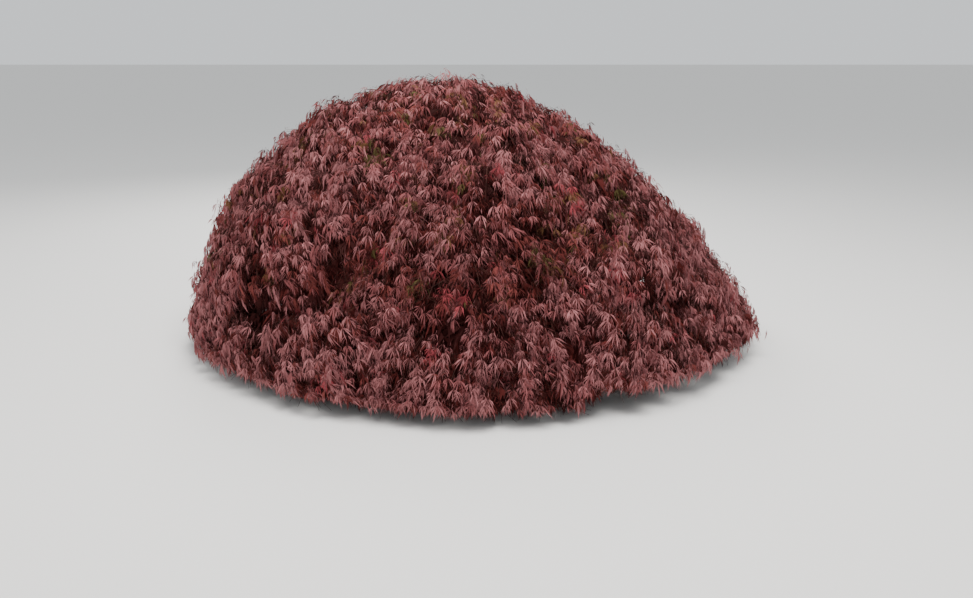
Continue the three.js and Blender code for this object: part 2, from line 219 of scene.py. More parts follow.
for lamp in LAMPS:
    add_lamp(*lamp)
world = bpy.data.worlds.new("sky")
bpy.context.scene.world = world
world.use_nodes = True
sky = world.node_tree.nodes["Background"]
sky.inputs["Color"].default_value = SKY_COLOUR
sky.inputs["Strength"].default_value = SKY_STRENGTH

# %% [markdown]
# ## The named sizes
# These are the sizes that the solids were made from, here in metres. The dome, the spaces of
# the masses and the lines of the limbs follow from them by the same rule, so that the twigs
# and leaves grow on from the limbs and stay in each mass's own space. Two sizes differ, since
# loose leaves look thinner than solid ones: the masses are tucked in less where they meet, and
# the crown swells a little at its flanks.

# %% Sizes of the crown
CROWN_TOP = 1.530
CROWN_HALF_WIDTH = 1.705
CROWN_HALF_DEPTH = 1.590
APEX_LEAN = -0.185
DOME_POWER = 1.46
POWER_SWING = -0.15
POWER_CREST = 0.39
HEM_LOW = 0.028
HEM_RAGGED = 0.070
TIERS = [
    # name, count, bearing of the first, fall from the top, fall at the bough's end, reach
    ("foliage_top", 1, 270, 2, 2, 1.0),
    ("foliage_crown", 5, 16, 36, 35, 1.02),
    ("foliage_shoulder", 7, 0, 55, 53, 1.01),
    ("foliage_skirt", 9, 2, 75, 64, 1.0),
]
SEED_SCALE = 0.88
INLET_SCALE = 0.8
CORE_EDGE = 0.008
CORE_RISE = 0.032
LEVEL_WEIGHT = 1.8
TUCK = 0.026
TUCK_WIDTH = 0.170
TUCK_LOWER = 0.3
TUCK_RISE = (-0.120, 0.140)
LEAF_SWELL = 0.006
FLANK_SWELL = 0.026
FLANK_FOOT = (0.25, 0.50)
FLANK_HEAD = (0.75, 1.00)
TWIGS = 6
FALL_POWER = 1.3
GOLDEN_ANGLE = math.pi * (3 - math.sqrt(5))
MASS_SEED = 1000
MASS_SEED_STEP = 97
BEARING_STRAY = 0.16
FALL_STRAY = 4
PHASE_STRAY = 0.5
BOX_SLACK = 0.02

# %% Sizes of the pot and the wood
POT_HEIGHT = 0.440
POT_RIM_RADIUS = 0.440
POT_FOOT_RADIUS = 0.320
POT_WALL = 0.028
RIM_DEPTH = 0.060
RIM_PROUD = 0.016
RIM_ROUND = 0.008
EASE_ACROSS = 0.002
EASE_DOWN = 0.003
LIP_EASE = 0.0025
POT_FACES = 96
WALL_STEPS = 26
WALL_BACK = 0.0018
WALL_RINGS = ((0.0011, 260), (0.0007, 97))
WELD = 1e-5
SOIL_TOP = 0.385
TRUNK_FOOT = 0.074
TRUNK_WAIST = 0.064
TRUNK_KNUCKLE = 0.084
TRUNK_TOP = 0.745
KNUCKLE_HEIGHT = 0.665
FLARE = 0.062
FLARE_LOBES = 5
FLARE_HEIGHT = 0.095
FLARE_POWER = 1.7
FLARE_EVEN = 0.62
FLARE_LOBED = 0.38
WAIST_SHARE = 0.45
CLOSING_SHARE = 1.12
TRUNK_SIDES = 60
LIMB_SIDES = 14
LIMB_STEPS = 60
LIMB_TAPER = 0.8
LIMB_SEED = 77
LIMB_STRAY = 0.045
THIRDS = (0.33, 0.67)
HALFWAY = (0.5,)
# Each kind of limb: radii at root and tip, roots along the parent, rises
LEADER = ((0.027, 0.012), (0.85,), (0.0,))
MAIN_BOUGH = ((0.031, 0.013), (0.8, 0.6), (0.150, 0.120))
CROWN_BOUGH = ((0.019, 0.010), (0.34,), (0.025,))
SKIRT_BOUGH = ((0.021, 0.009), (0.58, 0.44), (0.050,))

# %% [markdown]
# ## The dome
# The crown's outline is a rounded dome. Each point lies on a dome of some scale, 1 at the tips
# of the leaves and less inside, and a mass keeps to its own part of it. The chance in the rule
# is a seeded stream of numbers, the same stream as in the solids, so that the masses' places
# come out the same here.

# %% The seeded stream of numbers
def random_from(seed):
    mask = 0xFFFFFFFF
    step = 0x6D2B79F5
    state = seed & mask

    def multiply(a, b):
        return (a * b) & mask

    def draw():
        nonlocal state
        state = (state + step) & mask
        t = multiply(state ^ (state >> 15), 1 | state)
        t = (t + multiply(t ^ (t >> 7), 61 | t)) & mask ^ t
        return ((t ^ (t >> 14)) & mask) / (mask + 1)

    return draw


# %% The dome's shape, for many points at once
TINY = 1e-9
SLOPE_STEP = 0.001


def smooth(x, low, high):
    t = np.clip((x - low) / (high - low), 0, 1)
    return t * t * (3 - 2 * t)


def dome_radius(bearing):
    return 1 / np.hypot(np.sin(bearing) / CROWN_HALF_WIDTH, np.cos(bearing) / CROWN_HALF_DEPTH)


def dome_scale(points):
    p = np.atleast_2d(points)
    x = p[:, 0] - APEX_LEAN * p[:, 2] / CROWN_TOP
    bearing = np.arctan2(x, -p[:, 1])
    out = np.hypot(x, p[:, 1]) / dome_radius(bearing)
    up = np.maximum(p[:, 2], 0) / CROWN_TOP
    crest = POWER_CREST * (up / (out + up + TINY)) ** 2
    power = DOME_POWER + POWER_SWING * np.sin(bearing) + crest
    return (out**power + up**power) ** (1 / power)


def at_scale(points, scale):
    p = np.atleast_2d(points)
    return p * (np.asarray(scale) / dome_scale(p))[:, None]


def dome_point(bearing, fall, scale):
    out = dome_radius(bearing) * math.sin(fall) ** FALL_POWER
    up = math.cos(fall) ** FALL_POWER
    x = APEX_LEAN * up + out * math.sin(bearing)
    return at_scale([[x, -out * math.cos(bearing), CROWN_TOP * up]], scale)[0]


def unit(vectors):
    return vectors / np.maximum(np.linalg.norm(vectors, axis=-1, keepdims=True), TINY)


def dome_normal(points):
    p = np.atleast_2d(points)
    steps = SLOPE_STEP * np.eye(3)
    slopes = [dome_scale(p + step) - dome_scale(p - step) for step in steps]
    return unit(np.stack(slopes, 1))


# %% Lay out the masses
def lay_out_masses():
    masses = []
    for name, count, turn, fall, inlet, swell in TIERS:
        for i in range(count):
            draw = random_from(MASS_SEED + MASS_SEED_STEP * len(masses))
            bearing = math.radians(turn + 360 * (i + BEARING_STRAY * (draw() - 0.5)) / count)
            stray = FALL_STRAY * (draw() - 0.5) if count > 1 else 0
            way_down = math.radians(fall + stray)
            middle = dome_point(bearing, way_down, SEED_SCALE)
            hem = HEM_LOW + (HEM_RAGGED * draw() if i else 0)
            twist = PHASE_STRAY * (draw() - 0.5)
            phase = -math.pi / 2 - (TWIGS - 1) * GOLDEN_ANGLE + twist
            masses.append(
                dict(
                    name=f"{name}_{i + 1}" if count > 1 else name,
                    tier=name,
                    swell=swell,
                    bearing=bearing,
                    middle=middle,
                    inlet=dome_point(bearing, math.radians(inlet), INLET_SCALE),
                    outward=dome_normal(middle)[0],
                    hem=hem,
                    phase=phase,
                )
            )
    for own in masses:
        others = np.array([m["middle"] for m in masses if m is not own])
        normals = others - own["middle"]
        normals[:, 2] *= LEVEL_WEIGHT**2
        own["wall_normals"] = unit(normals)
        own["wall_offsets"] = (own["wall_normals"] * (others + own["middle"]) / 2).sum(1)
        own["sideways"] = unit(np.cross(own["outward"], (0, 0, -1)))
        own["upwards"] = np.cross(own["outward"], own["sideways"])
    return masses


def wall_distance(points, own):
    return (own["wall_offsets"] - np.atleast_2d(points) @ own["wall_normals"].T).min(1)


def reach_at(points, own):
    p = np.atleast_2d(points)
    at_edge = 1 - smooth(wall_distance(p, own), 0, TUCK_WIDTH)
    above = smooth(p[:, 2] - own["middle"][2], *TUCK_RISE)
    flank = smooth(p[:, 2], *FLANK_FOOT) * (1 - smooth(p[:, 2], *FLANK_HEAD))
    swell = own["swell"] + LEAF_SWELL + FLANK_SWELL * flank
    return swell - TUCK * at_edge * (TUCK_LOWER + (1 - TUCK_LOWER) * above)


masses = lay_out_masses()
for own in masses:
    low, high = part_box(own["name"])
    for i in range(3):
        assert low[i] - BOX_SLACK < own["middle"][i] < high[i] + BOX_SLACK, own["name"]
print("Masses laid out:", len(masses))

# %% [markdown]
# ## The lines of the limbs
# One or two points bend each limb between its ends, and a smooth curve runs through them, as
# in the solids. A centripetal Catmull-Rom curve passes through each of its points without a
# kink, and it is measured along its length, so that a root sits where the solids have it.

# %% Smooth curves through points
KNOT_GAP = 1e-4


def knot_curve(points, samples=24):
    p = [np.array(q, float) for q in points]
    if len(p) == 2:
        p.insert(1, (p[0] + p[1]) / 2)
    ends = [2 * p[0] - p[1]] + p + [2 * p[-1] - p[-2]]
    line = []
    for a, b, c, d in zip(ends, ends[1:], ends[2:], ends[3:]):
        ab, bc, cd = (max(np.linalg.norm(v - u) ** 0.5, KNOT_GAP) for u, v in ((a, b), (b, c), (c, d)))
        start = ((b - a) / ab - (c - a) / (ab + bc) + (c - b) / bc) * bc
        finish = ((c - b) / bc - (d - b) / (bc + cd) + (d - c) / cd) * bc
        for t in np.linspace(0, 1, samples, endpoint=False):
            line.append(
                (2 * t**3 - 3 * t**2 + 1) * b
                + (t**3 - 2 * t**2 + t) * start
                + (-2 * t**3 + 3 * t**2) * c
                + (t**3 - t**2) * finish
            )
    line.append(p[-1])
    return np.array(line)


def along_line(line, share):
    lengths = np.concatenate([[0], np.cumsum(np.linalg.norm(np.diff(line, axis=0), axis=1))])
    wanted = np.asarray(share) * lengths[-1]
    return np.stack([np.interp(wanted, lengths, line[:, i]) for i in range(3)], -1)


# %% Lay out the limbs
def rung(share):
    return SOIL_TOP + share * (TRUNK_TOP - SOIL_TOP)


TRUNK_LINE = knot_curve(
    [
        (0, 0, SOIL_TOP),
        (0.008, -0.004, rung(0.2)),
        (0.020, 0.006, rung(0.5)),
        (-0.006, 0.012, rung(0.8)),
        (-0.016, 0.008, TRUNK_TOP),
    ]
)


def lay_out_limbs():
    draw = random_from(LIMB_SEED)
    limbs = []

    def between(start, end, share, rise):
        p = start + (end - start) * share
        strays = [draw() - 0.5 for _ in range(3)]
        return p + LIMB_STRAY * np.array([strays[0], strays[1], 0.5 * strays[2]]) + (0, 0, rise)

    def grow(name, kind, parent, turn, mass, shares):
        radii, roots, rises = kind
        root = along_line(parent, roots[turn % len(roots)])
        rise = rises[turn % len(rises)]
        bends = [between(root, mass["inlet"], share, rise) for share in shares]
        limb = dict(name=name, radii=radii, mass=mass, line=knot_curve([root, *bends, mass["inlet"]]))
        mass["limb"] = limb
        limbs.append(limb)

    def tier(name):
        return [mass for mass in masses if mass["tier"] == name]

    grow("leader", LEADER, TRUNK_LINE, 0, tier("foliage_top")[0], THIRDS)
    for i, mass in enumerate(tier("foliage_shoulder")):
        grow(f"main_bough_{i + 1}", MAIN_BOUGH, TRUNK_LINE, i, mass, THIRDS)
    mains = [limb for limb in limbs if limb["name"].startswith("main")]
    taken = {limb["name"]: 0 for limb in mains}

    def nearest_main(mass):
        return max(mains, key=lambda limb: math.cos(limb["mass"]["bearing"] - mass["bearing"]))

    for i, mass in enumerate(tier("foliage_crown")):
        grow(f"crown_bough_{i + 1}", CROWN_BOUGH, nearest_main(mass)["line"], 0, mass, HALFWAY)
    for i, mass in enumerate(tier("foliage_skirt")):
        main = nearest_main(mass)
        turn = taken[main["name"]]
        taken[main["name"]] += 1
        grow(f"skirt_bough_{i + 1}", SKIRT_BOUGH, main["line"], turn, mass, HALFWAY)
    return limbs


limbs = lay_out_limbs()
for limb in limbs:
    low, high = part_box(limb["name"])
    for point in (limb["line"][len(limb["line"]) // 2], limb["line"][-1]):
        off = max(max(low[i] - point[i], point[i] - high[i]) for i in range(3))
        assert off < BOX_SLACK, (limb["name"], off)
print("Limbs laid out:", len(limbs))

# %% [markdown]
# ## The pot
# The pot is thrown from red clay and fired without a glaze. Its profile is one chain of edges,
# spun once round the pot's middle. Shallow rings from the potter's fingers run round the wall.
# The bump and the paler bloom of salts on damp clay come from noise in the finish.

# %% Turn the pot
def pot_radius(height):
    share = height / POT_HEIGHT
    return POT_FOOT_RADIUS + share * (POT_RIM_RADIUS - RIM_PROUD - POT_FOOT_RADIUS)


def inner_radius(height):
    return pot_radius(height) - POT_WALL


def turned(profile, faces):
    shape = bmesh.new()
    verts = [shape.verts.new((radius, 0, height)) for radius, height in profile]
    for a, b in zip(verts, verts[1:]):
        shape.edges.new((a, b))
    bmesh.ops.spin(
        shape,
        geom=shape.verts[:] + shape.edges[:],
        cent=(0, 0, 0),
        axis=(0, 0, 1),
        angle=math.tau,
        steps=faces,
        use_merge=True,
    )
    bmesh.ops.remove_doubles(shape, verts=shape.verts, dist=WELD)
    bmesh.ops.recalc_face_normals(shape, faces=shape.faces)
    return shape


def pot_profile():
    rim_foot = POT_HEIGHT - RIM_DEPTH
    rim_face = pot_radius(rim_foot) + RIM_PROUD
    profile = [(0, 0), (POT_FOOT_RADIUS - RIM_ROUND, 0), (POT_FOOT_RADIUS, RIM_ROUND)]
    for height in np.linspace(RIM_ROUND * 2, rim_foot - RIM_ROUND, WALL_STEPS):
        ring = sum(depth * math.sin(height * pitch) for depth, pitch in WALL_RINGS)
        profile.append((pot_radius(height) - WALL_BACK + ring, height))
    profile += [
        (rim_face - RIM_ROUND, rim_foot),
        (rim_face - EASE_ACROSS, rim_foot + EASE_DOWN),
        (rim_face, rim_foot + RIM_ROUND),
        (POT_RIM_RADIUS, POT_HEIGHT - RIM_ROUND),
        (POT_RIM_RADIUS - LIP_EASE, POT_HEIGHT - LIP_EASE),
        (POT_RIM_RADIUS - RIM_ROUND, POT_HEIGHT),
        (inner_radius(POT_HEIGHT) + RIM_ROUND, POT_HEIGHT),
        (inner_radius(POT_HEIGHT) + EASE_ACROSS, POT_HEIGHT - EASE_DOWN),
        (inner_radius(POT_HEIGHT - RIM_ROUND), POT_HEIGHT - RIM_ROUND),
        (inner_radius(POT_WALL), POT_WALL),
        (0, POT_WALL),
    ]
    return profile


clay, _ = mottled_finish(
    "fired_clay",
    roughness=0.85,
    clouds=(7.0, 6.0),
    stops=[(0.3, linear(150, 85, 60)), (0.6, linear(171, 103, 74)), (0.8, linear(186, 128, 100))],
    grain=(160.0, 3.0),
    relief=(0.35, 0.001),
)
pot = make_piece("clay_pot", turned(pot_profile(), POT_FACES), clay, "clay", "pot")
shade_smooth(pot)
print("Pot faces:", len(pot.data.polygons))

# %% [markdown]
# ## The soil
# The compost is dark, damp and crumbly, and it heaps up a little round the foot of the trunk.
# A disc is cut into fine facets, and noise raises its crumbs. The rest of the soil is hidden
# in the pot, so a skirt of the same mesh goes down inside the wall.

# %% Fill the pot
SOIL_GAP = 0.003
SOIL_LIFT = 0.001
SOIL_SINK = 0.008
SOIL_CUTS = 10
CRUMB_PITCH = 60
CRUMB_HEIGHT = 0.006
CRUMB_FRACTAL = (0.8, 2.2, 4)
HEAP_HEIGHT = 0.006
HEAP_WIDTH = 0.16
EDGE_FALL = 0.012
EDGE_WIDTH = 0.02

soil_radius = inner_radius(SOIL_TOP) - SOIL_GAP
soil_shape = bmesh.new()
bmesh.ops.create_circle(
    soil_shape, cap_ends=True, cap_tris=True, segments=POT_FACES, radius=soil_radius
)
edges = soil_shape.edges[:]
bmesh.ops.subdivide_edges(soil_shape, edges=edges, cuts=SOIL_CUTS, use_grid_fill=True)
bmesh.ops.translate(soil_shape, verts=soil_shape.verts, vec=(0, 0, SOIL_TOP))
for vert in soil_shape.verts:
    from_wall = soil_radius - math.hypot(vert.co.x, vert.co.y)
    crumbs = noise.fractal(vert.co * CRUMB_PITCH, *CRUMB_FRACTAL)
    heap = HEAP_HEIGHT * math.exp(-((soil_radius - from_wall) / HEAP_WIDTH) ** 2)
    edge = -EDGE_FALL * math.exp(-from_wall / EDGE_WIDTH)
    vert.co.z += -SOIL_SINK + CRUMB_HEIGHT * crumbs + heap + edge
soil_rim = [edge for edge in soil_shape.edges if edge.is_boundary]
wall_of_soil = bmesh.ops.extrude_edge_only(soil_shape, edges=soil_rim)
lower_rim = [g for g in wall_of_soil["geom"] if isinstance(g, bmesh.types.BMVert)]
shrink = (inner_radius(POT_WALL) - SOIL_GAP) / soil_radius
bmesh.ops.scale(soil_shape, verts=lower_rim, vec=(shrink, shrink, 1))
for vert in lower_rim:
    vert.co.z = POT_WALL + SOIL_LIFT
foot_rim = [edge for edge in soil_shape.edges if edge.is_boundary]
bmesh.ops.contextual_create(soil_shape, geom=foot_rim)
bmesh.ops.recalc_face_normals(soil_shape, faces=soil_shape.faces)

compost, _ = mottled_finish(
    "damp_compost",
    roughness=0.95,
    clouds=(85.0, 5.0),
    stops=[(0.3, linear(27, 18, 13)), (0.55, linear(52, 37, 27)), (0.75, linear(86, 66, 49))],
    grain=(85.0, 5.0),
    relief=(0.7, 0.004),
)
soil = make_piece("crumbly_soil", soil_shape, compost, "soil", "soil")
print("Soil faces:", len(soil.data.polygons))

# %% [markdown]
# ## The trunk and the boughs
# Maple bark is grey-brown and fairly smooth, with fine cracks that run along the limb, folds
# where the limbs fork and roots that spread as they enter the soil. Each limb starts as a ring
# of vertices that is extruded step by step along the limb's line and drawn in as it tapers.
# The relief is in the mesh: noise that is stretched along the limb moves each vertex in or out.

# %% Grow a limb from a ring
LIMB_SLANT = (0.31, 0.95, 0.07)
RIDGES_AROUND = 2.2
RIDGES_ALONG = 9
RIDGE_PITCH = 2.1
RIDGE_FRACTAL = (0.9, 2.1, 4)
RIDGE_RELIEF = 0.045
SWELL_PITCH = 14
SWELLS_ALONG = 11
SWELL_RELIEF = 0.05


def ring_frames(line, steps):
    centres = along_line(line, np.linspace(0, 1, steps + 1))
    ways = unit(np.gradient(centres, axis=0))
    across = unit(np.cross(ways[0], LIMB_SLANT))
    frames = []
    for centre, way in zip(centres, ways):
        across = unit(across - way * (across @ way))
        frames.append((centre, way, across, np.cross(way, across)))
    return frames


def bark_relief(centre, around, height, radius):
    x, y = math.cos(around) * RIDGES_AROUND, math.sin(around) * RIDGES_AROUND
    place = Vector((x, y, height * RIDGES_ALONG))
    ridges = noise.fractal(place * RIDGE_PITCH, *RIDGE_FRACTAL)
    x, y = centre[0] * SWELL_PITCH, centre[1] * SWELL_PITCH
    swells = noise.noise(Vector((x, y, height * SWELLS_ALONG)))
    return radius * (RIDGE_RELIEF * ridges + SWELL_RELIEF * swells)


def grow_limb(shape, line, radius_at, sides, steps):
    frames = ring_frames(line, steps)
    made = bmesh.ops.create_circle(shape, cap_ends=False, segments=sides, radius=1)
    rings = [made["verts"]]
    for _ in range(steps):
        edges = list({e for v in rings[-1] for e in v.link_edges if e.other_vert(v) in rings[-1]})
        grown = bmesh.ops.extrude_edge_only(shape, edges=edges)
        new_ring = [g for g in grown["geom"] if isinstance(g, bmesh.types.BMVert)]
        partner = {}
        for vert in new_ring:
            for edge in vert.link_edges:
                other = edge.other_vert(vert)
                if other not in new_ring:
                    partner[other] = vert
        rings.append([partner[v] for v in rings[-1]])
    length = np.linalg.norm(np.diff(line, axis=0), axis=1).sum()
    for k, (centre, way, across, over) in enumerate(frames):
        for i, vert in enumerate(rings[k]):
            around = math.tau * i / sides
            radius = radius_at(k / steps, around)
            radius += bark_relief(centre, around, k / steps * length, radius)
            vert.co = centre + radius * (math.cos(around) * across + math.sin(around) * over)
    for end in (rings[0], rings[-1]):
        bmesh.ops.contextual_create(shape, geom=end)


def tapering(radii):
    def radius_at(share, around):
        return radii[0] + (radii[1] - radii[0]) * share**LIMB_TAPER

    return radius_at


def trunk_radius(share, around):
    height = share * (TRUNK_TOP - SOIL_TOP)
    knuckle = (KNUCKLE_HEIGHT - SOIL_TOP) / (TRUNK_TOP - SOIL_TOP)
    lobes = FLARE_EVEN + FLARE_LOBED * math.cos(FLARE_LOBES * around)
    flare = FLARE * lobes * max(0, 1 - height / FLARE_HEIGHT) ** FLARE_POWER
    if share < knuckle:
        waist = TRUNK_FOOT + (TRUNK_WAIST - TRUNK_FOOT) * float(smooth(share, 0, WAIST_SHARE))
        swell = float(smooth(share, WAIST_SHARE, knuckle))
        stem = waist + (TRUNK_KNUCKLE - TRUNK_WAIST) * swell
    else:
        closing = (share - knuckle) / (CLOSING_SHARE - knuckle)
        stem = TRUNK_KNUCKLE * math.sqrt(1 - closing**2)
    return stem + flare


# %% Bark
bark, _ = mottled_finish(
    "maple_bark",
    roughness=0.82,
    clouds=(22.0, 5.0),
    stops=[(0.3, linear(70, 56, 48)), (0.5, linear(104, 88, 76)), (0.7, linear(138, 124, 108))],
    grain=(140.0, 4.0),
    relief=(0.5, 0.002),
)

# %% Grow the wood
wood_shape = bmesh.new()
grow_limb(wood_shape, TRUNK_LINE, trunk_radius, TRUNK_SIDES, LIMB_STEPS)
for limb in limbs:
    grow_limb(wood_shape, limb["line"], tapering(limb["radii"]), LIMB_SIDES, LIMB_STEPS)
bmesh.ops.recalc_face_normals(wood_shape, faces=wood_shape.faces)
wood_nodes = ["trunk"] + [limb["name"] for limb in limbs]
wood = make_piece("trunk_and_boughs", wood_shape, bark, "bark", *wood_nodes)
shade_smooth(wood)
print("Wood faces:", len(wood.data.polygons))

# %% [markdown]
# ## One leaf
# A laceleaf maple's leaf has seven narrow lobes that spread from its stalk like fingers and
# droop at their tips. Each is thin at its foot, so the lobes stay apart down to the stalk, and
# from a few metres away they are thin dark or rosy strokes. A lobe is one slim triangle whose
# widest corner stands on its outer side, so that the outer lobes bow away from the middle one,
# and the stalk is another. Leaves in the shade have wider lobes. A leaf is modelled here once
# for each degree of droop, and joined meshes of the copies make the foliage. It lies along +Y,
# with its upper side to +Z.

# %% Model a leaf
LOBE_TURNS = (-43, -28, -13, 0, 13, 28, 43)
LOBE_LENGTHS = (0.72, 0.90, 1.0, 1.06, 1.0, 0.90, 0.72)
LOBE_FOOT = 0.06
LOBE_WIDEST = 0.52
LOBE_WIDTHS = (0.085, 0.070, 0.052, 0.045, 0.052, 0.070, 0.085)
SHADE_WIDENS = 2.0
STALK_LENGTH = 0.4
STALK_WIDTH = 0.03
DROOPS = (0.05, 0.15, 0.25, 0.35, 0.45, 0.55, 0.65)
LOBE_STRAY = 7.0
LOBE_STRETCH = (0.75, 1.15)
LEAF_SEED = 2024

chance = np.random.default_rng(LEAF_SEED)


def add_blade(shape, turn, foot, length, width, droop):
    """One slim triangle: a circle of three vertices, pulled out to its foot, side and tip."""
    corners = bmesh.ops.create_circle(shape, cap_ends=True, segments=3, radius=1)["verts"]
    middle = foot + LOBE_WIDEST * (length - foot)
    places = ((0, foot), (math.copysign(width, turn), middle), (0, length))
    for vert, (aside, out) in zip(corners, places):
        vert.co = (aside, out, -droop * out * out)
    spin = Matrix.Rotation(-math.radians(turn), 3, "Z")
    bmesh.ops.rotate(shape, verts=corners, cent=(0, 0, 0), matrix=spin)


def leaf_shape(droop, widens=1.0):
    shape = bmesh.new()
    for turn, length, width in zip(LOBE_TURNS, LOBE_LENGTHS, LOBE_WIDTHS):
        turn += LOBE_STRAY * chance.normal()
        length *= chance.uniform(*LOBE_STRETCH)
        add_blade(shape, turn, LOBE_FOOT, length, widens * width, droop)
    add_blade(shape, 180, 0, STALK_LENGTH, STALK_WIDTH, 0)
    shape.verts.index_update()
    verts = np.array([v.co[:] for v in shape.verts])
    faces = np.array([[v.index for v in face.verts] for face in shape.faces])
    shape.free()
    for i, (a, b, c) in enumerate(faces):
        if np.cross(verts[b] - verts[a], verts[c] - verts[a])[2] < 0:
            faces[i] = (a, c, b)
    return verts, faces


leaf_kinds = [leaf_shape(droop) for droop in DROOPS]
shade_kinds = [leaf_shape(droop, SHADE_WIDENS) for droop in DROOPS]
print("One leaf has", len(leaf_kinds[0][1]), "faces")

# %% [markdown]
# ## The cascades
# The finer growth goes on by the rule of the solids. From the middle of a mass, twig after
# twig heads out by the golden angle, and the root of its number sets how far, so that they
# fill the space evenly. In the solids there are six to a mass; here there are as many as its
# space holds. Each ends in a cascade: a strand that rises from the wood, arches over at the
# dome's surface and weeps down the slope. Leaves cover its back, and both of its ends and
# its sides dip, so that dark hollows part it from the next cascade. A shaded dip also runs
# across the crown's front, at about half its height, and there the cascades lie deeper.

# %% Sizes of the cascades
SPAN_STEP = 0.008
SPAN_STEPS = 160
LOOKS_AROUND = 24
HANG_AWAY = 0.45
CASCADE_SPACING = 0.225
CASCADE_LENGTH = 0.36
CASCADE_HALF_WIDTH = 0.140
CASCADE_CREST = 0.35
CASCADE_DIP = 0.096
CASCADE_SIDE_DIP = 0.078
CASCADE_LIFT = 0.030
CASCADE_STRETCH = (0.8, 1.2)
NARROW_ENDS = 0.5
HEAD_START = 0.1
SPRAYS = 59
SPRAY_JITTER = (0.2, 0.8)
TWIGLET_BACK = 0.16
TWIGLET_ROOT = 0.25
LEAVES_PER_SPRAY = 8
# The sunk back leaves of each spray are painted a darker tone, as painted shade.
SUNK_SHADED_LEAVES = 5
SUNK_SHADED_DEPTH = 0.026
SUNK_PAINTED_SHADE = 3.2
LEAF_TONE = 0.6
LEAF_SIZE = 0.066
LEAF_STRAY = 0.032
LEAFY_LENGTH = 0.120
TIP_DROOP = 0.033
HEM_LIFT = 0.070
LOWEST_LEAF = 0.004
INNER_SPACING = 0.066
INNER_DEPTH = 0.112
INNER_LEAVES = 6
INNER_OVER_WALL = 0.100
INNER_SIZE = 0.112
INNER_STRAY = 0.02
FIRST_TWIG = 0.2
SMALLEST_AWAY = 0.2
SPRAY_OVER_WALL = 0.065
OVER_WALL = 0.105
UNDER_REACH = 0.002
INNER_UNDER_REACH = 0.060
STRAND_SHARES = (0.05, 0.3, 0.55, 0.8, 0.95)
STRAND_UNDER_LEAVES = 0.044
TWIG_OVER_HEM = 0.060
TWIGS_UNDER_REACH = 0.130
RECESS_HEIGHT = 0.65
RECESS_RISE = 0.17
RECESS_RISES = (-0.1, 0.7)
RECESS_WAVE = 0.035
RECESS_WAVES = 8.0
RECESS_WIDTH = 0.10
RECESS_MIDDLE = -0.15
RECESS_LENGTH = 0.75
RECESS_DEPTH = 0.060


def span_along(own, towards):
    spans = SPAN_STEP * np.arange(1, SPAN_STEPS)
    p = at_scale(own["middle"] + spans[:, None] * towards, SEED_SCALE)
    holds = (p[:, 2] >= own["hem"] + CORE_RISE) & (wall_distance(p, own) >= CORE_EDGE)
    return spans[np.argmin(holds)] if not holds.all() else spans[-1]


def heading(own, turn):
    return own["sideways"] * math.cos(turn) + own["upwards"] * math.sin(turn)


def slope_ways(points, own):
    """Level, downhill and outward directions of the dome at each point, for a hanging strand."""
    outward = dome_normal(points)
    away = points - own["middle"]
    away = unit(away - outward * (away * outward).sum(1)[:, None])
    down = outward * outward[:, 2:] - (0, 0, 1)
    hang = unit(unit(down) + HANG_AWAY * away)
    hang = unit(hang - outward * (hang * outward).sum(1)[:, None])
    return np.cross(outward, hang), hang, outward


def recess(points):
    """How far points lie in the shaded dip that runs across the crown's front, 0 to 1."""
    x, y, z = points.T
    line = RECESS_HEIGHT + RECESS_RISE * smooth(x, *RECESS_RISES)
    line = line + RECESS_WAVE * np.sin(RECESS_WAVES * x)
    off = ((z - line) / RECESS_WIDTH) ** 2 + ((x - RECESS_MIDDLE) / RECESS_LENGTH) ** 2
    return np.exp(-off) * (y < 0)


def sink(points, own, depth):
    """Points put a depth, in metres, under the mass's reach."""
    away = np.linalg.norm(points, axis=1)
    scale = dome_scale(points)
    depth = depth * scale / np.maximum(away, SMALLEST_AWAY)
    return at_scale(points, reach_at(points, own) - depth)


def spiral(own, spacing, over=0.0):
    """The rule's points over a whole mass, an even distance apart, at the scale of its middle."""
    turns = np.linspace(0, math.tau, LOOKS_AROUND, endpoint=False)
    widest = max(span_along(own, heading(own, turn)) for turn in turns)
    points = []
    for k in range(math.ceil(math.pi * (widest / spacing) ** 2)):
        towards = heading(own, own["phase"] + k * GOLDEN_ANGLE)
        out = spacing * math.sqrt((k + FIRST_TWIG) / math.pi)
        if out <= span_along(own, towards) + over:
            points.append(own["middle"] + out * towards)
    return at_scale(np.array(points), SEED_SCALE)


def lay_out_cascades(own):
    middles = spiral(own, CASCADE_SPACING)
    count = len(middles)
    level, hang, _ = slope_ways(middles, own)
    return dict(
        middles=middles,
        level=level,
        hang=hang,
        length=CASCADE_LENGTH * chance.uniform(*CASCADE_STRETCH, count),
        width=CASCADE_HALF_WIDTH * chance.uniform(*CASCADE_STRETCH, count),
        lift=chance.uniform(0, CASCADE_LIFT, count),
    )


def on_cascade(own, cascades, which, along, aside, deeper=0.0):
    """Points on the backs of cascades: along is 0 to 1 down the strand, aside is -1 to 1."""
    run = ((along - CASCADE_CREST) * cascades["length"][which])[:, None]
    drift = (aside * cascades["width"][which])[:, None]
    points = cascades["middles"][which] + run * cascades["hang"][which]
    points = points + drift * cascades["level"][which]
    ends = np.where(along < CASCADE_CREST, CASCADE_CREST, 1 - CASCADE_CREST)
    dip = CASCADE_DIP * ((along - CASCADE_CREST) / ends) ** 2
    dip = dip + CASCADE_SIDE_DIP * aside**2 + cascades["lift"][which] + deeper
    dip = dip + RECESS_DEPTH * recess(points)
    return sink(points, own, dip)
